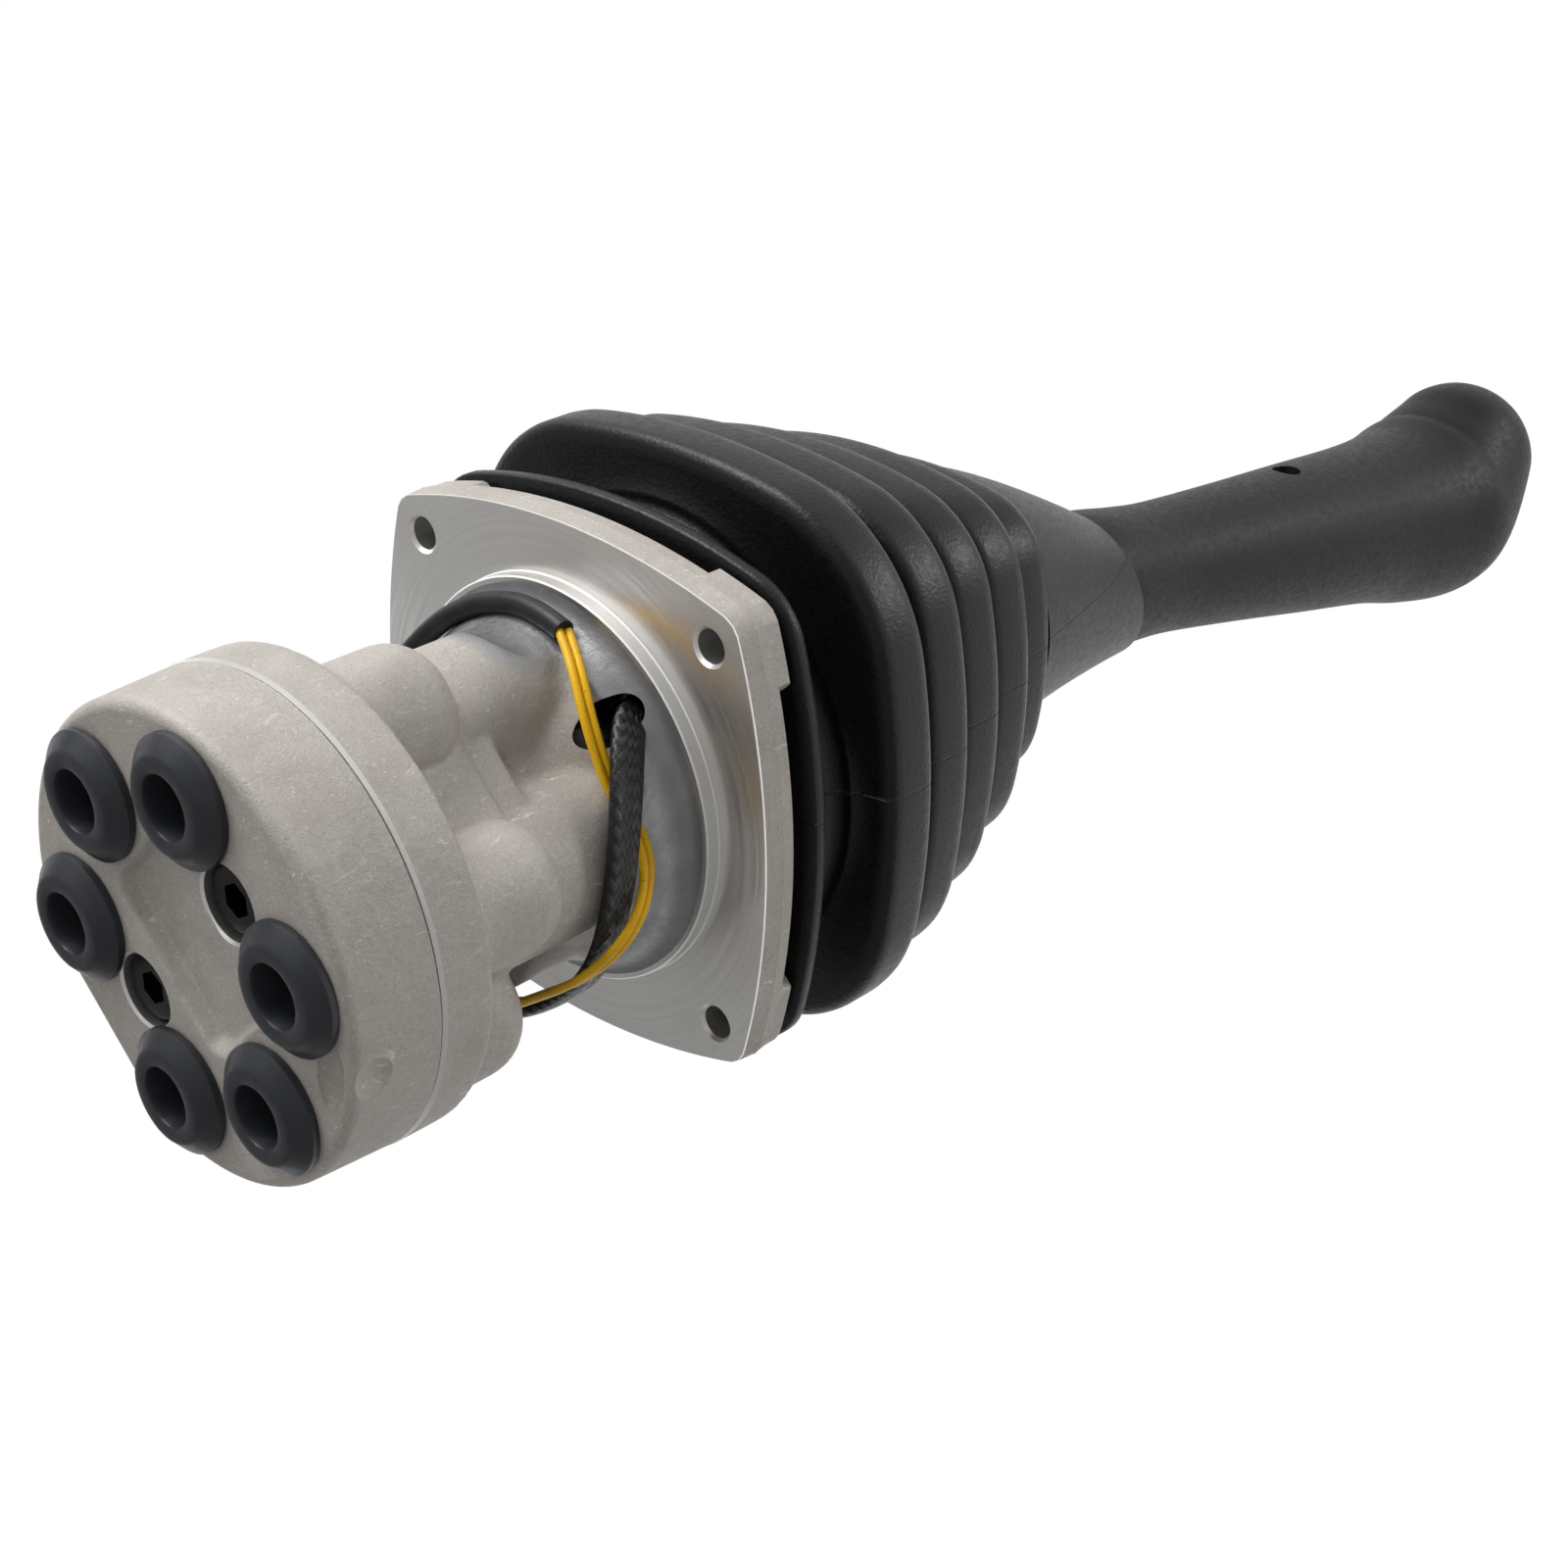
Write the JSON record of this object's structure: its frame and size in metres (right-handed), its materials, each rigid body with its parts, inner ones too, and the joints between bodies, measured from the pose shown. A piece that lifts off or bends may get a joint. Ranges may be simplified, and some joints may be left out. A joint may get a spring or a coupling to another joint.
{
  "type": "hydraulic pilot joystick valve",
  "caption": "Two-axis hydraulic pilot control valve: cast body with bottom ports, square mounting plate, bellows boot and cranked grip with push button.",
  "frame": {"origin": "centre of the mounting plate's machined lower face, inside the four mounting holes", "axes": "+Z from the port block towards the grip, X and Y along the plate's sides; the grip leans towards -Y, the pressure port lies between +X and +Y"},
  "size_m": [0.1204, 0.1227, 0.456],
  "materials": {
    "cast_aluminium": "as cast, fine blasted grain, machined faces",
    "black_oxide_steel": "black oxide",
    "steel": "machined",
    "spring_steel": "bright wire",
    "bronze": "turned",
    "seal_rubber": "smooth",
    "plug_rubber": "matte",
    "boot_rubber": "fine leather grain",
    "grip_plastic": "matte moulded",
    "switch_plastic": "matte moulded",
    "button_plastic": "gloss",
    "braided_sleeve": "braided",
    "shrink_tube": "smooth",
    "wire_insulation": "satin",
    "tinned_copper": "stranded"
  },
  "bodies": {
    "valve_body": {"valve_casing": "cast_aluminium", "port_block": "cast_aluminium", "port_block_screws": "black_oxide_steel", "locating_pin": "steel", "port_block_seals": "seal_rubber", "pressure_port_plug": "plug_rubber", "tank_port_plug": "plug_rubber", "service_port_plugs": "plug_rubber", "guide_bushes": "bronze", "guide_bush_rings": "seal_rubber", "rod_seals": "seal_rubber", "retaining_plate": "steel", "joint_base": "steel", "return_spring_1": "spring_steel", "return_spring_2": "spring_steel", "return_spring_3": "spring_steel", "return_spring_4": "spring_steel", "boot_lower": "boot_rubber", "lead_sleeve": "braided_sleeve", "lead_shrink_tube": "shrink_tube", "lead_wire_1": "wire_insulation", "lead_wire_2": "wire_insulation", "lead_wire_ends": "tinned_copper"},
    "cross": {"joint_cross": "steel"},
    "lever": {"lever_yoke": "steel", "cam_disc": "steel", "cam_lock_nut": "steel", "lever_adapter": "steel", "lever_tube": "steel", "grip": "grip_plastic", "grip_screw": "black_oxide_steel", "switch_body": "switch_plastic", "boot_upper": "boot_rubber"},
    "button": {"push_button": "button_plastic"},
    "rod_1": {"push_rod_1": "steel", "spring_seat_1": "steel"},
    "pilot_1": {"spool_1": "steel", "metering_spring_1": "spring_steel"},
    "rod_2": {"push_rod_2": "steel", "spring_seat_2": "steel"},
    "pilot_2": {"spool_2": "steel", "metering_spring_2": "spring_steel"},
    "rod_3": {"push_rod_3": "steel", "spring_seat_3": "steel"},
    "pilot_3": {"spool_3": "steel", "metering_spring_3": "spring_steel"},
    "rod_4": {"push_rod_4": "steel", "spring_seat_4": "steel"},
    "pilot_4": {"spool_4": "steel", "metering_spring_4": "spring_steel"}
  },
  "joints": [
    {"name": "tilt_x", "type": "hinge", "parent": "valve_body", "child": "cross", "pos_m": [0, 0, 0.034], "axis": [1, 0, 0], "range_deg": [-19, 19], "stiffness_Nm_per_rad": 9, "deforming": ["boot_lower"]},
    {"name": "tilt_y", "type": "hinge", "parent": "cross", "child": "lever", "pos_m": [0, 0, 0.034], "axis": [0, 1, 0], "range_deg": [-19, 19], "stiffness_Nm_per_rad": 9, "deforming": ["boot_upper"]},
    {"name": "button_press", "type": "slide", "parent": "lever", "child": "button", "axis": [0, 0, -1], "range_m": [0, 0.002], "stiffness_N_per_m": 1200},
    {"name": "rod_1_slide", "type": "slide", "parent": "valve_body", "child": "rod_1", "axis": [0, 0, 1], "range_m": [-0.0067, 0.0067], "deforming": ["return_spring_1"]},
    {"name": "spool_1_slide", "type": "slide", "parent": "valve_body", "child": "pilot_1", "axis": [0, 0, 1], "range_m": [-0.0024, 0.0024], "deforming": ["metering_spring_1"]},
    {"name": "rod_2_slide", "type": "slide", "parent": "valve_body", "child": "rod_2", "axis": [0, 0, 1], "range_m": [-0.0067, 0.0067], "deforming": ["return_spring_2"]},
    {"name": "spool_2_slide", "type": "slide", "parent": "valve_body", "child": "pilot_2", "axis": [0, 0, 1], "range_m": [-0.0024, 0.0024], "deforming": ["metering_spring_2"]},
    {"name": "rod_3_slide", "type": "slide", "parent": "valve_body", "child": "rod_3", "axis": [0, 0, 1], "range_m": [-0.0067, 0.0067], "deforming": ["return_spring_3"]},
    {"name": "spool_3_slide", "type": "slide", "parent": "valve_body", "child": "pilot_3", "axis": [0, 0, 1], "range_m": [-0.0024, 0.0024], "deforming": ["metering_spring_3"]},
    {"name": "rod_4_slide", "type": "slide", "parent": "valve_body", "child": "rod_4", "axis": [0, 0, 1], "range_m": [-0.0067, 0.0067], "deforming": ["return_spring_4"]},
    {"name": "spool_4_slide", "type": "slide", "parent": "valve_body", "child": "pilot_4", "axis": [0, 0, 1], "range_m": [-0.0024, 0.0024], "deforming": ["metering_spring_4"]}
  ],
  "couplings": [
    {"joint": "rod_1_slide", "follows": "tilt_y", "m_per_rad": -0.0201},
    {"joint": "spool_1_slide", "follows": "tilt_y", "m_per_rad": -0.00703},
    {"joint": "rod_2_slide", "follows": "tilt_x", "m_per_rad": 0.0201},
    {"joint": "spool_2_slide", "follows": "tilt_x", "m_per_rad": 0.00703},
    {"joint": "rod_3_slide", "follows": "tilt_y", "m_per_rad": 0.0201},
    {"joint": "spool_3_slide", "follows": "tilt_y", "m_per_rad": 0.00703},
    {"joint": "rod_4_slide", "follows": "tilt_x", "m_per_rad": -0.0201},
    {"joint": "spool_4_slide", "follows": "tilt_x", "m_per_rad": -0.00703}
  ]
}
